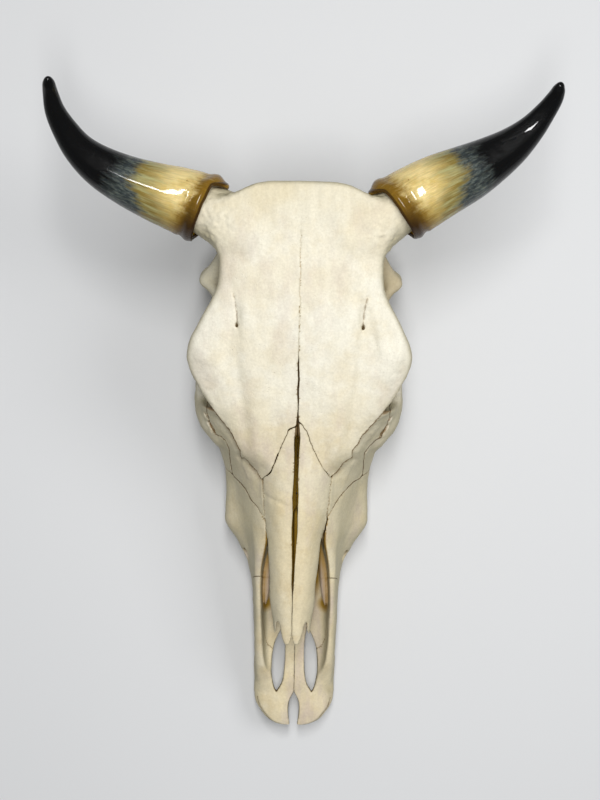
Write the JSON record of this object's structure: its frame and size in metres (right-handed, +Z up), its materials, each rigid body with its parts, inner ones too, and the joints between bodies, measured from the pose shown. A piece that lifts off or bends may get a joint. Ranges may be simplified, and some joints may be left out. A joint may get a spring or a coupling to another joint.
{
  "type": "cow skull",
  "caption": "Cow skull with curved horns and no lower jaw, cleaned bone parted along its sutures, resting on its cheek teeth as a display piece.",
  "frame": {"origin": "middle of the underside of the bounding box, on the plane the cheek teeth stand on", "axes": "+Y from the nose to the back of the skull, +Z up out of the forehead, +X to the side"},
  "size_m": [0.4354, 0.5742, 0.2235],
  "materials": {
    "bone": "dry, matt, cleaned bone",
    "horn": "polished horn, pale amber base to black tip"
  },
  "bodies": {
    "root": {"frontal_r": "bone", "frontal_l": "bone", "nasal_r": "bone", "nasal_l": "bone", "lacrimal_r": "bone", "lacrimal_l": "bone", "zygomatic_r": "bone", "zygomatic_l": "bone", "temporal_r": "bone", "temporal_l": "bone", "palatine_r": "bone", "palatine_l": "bone", "premaxilla_r": "bone", "premaxilla_l": "bone", "maxilla_r": "bone", "maxilla_l": "bone", "horn_sheath_r": "horn", "horn_sheath_l": "horn", "occipital": "bone", "parietal": "bone", "sphenoid": "bone", "vomer": "bone"}
  },
  "joints": []
}
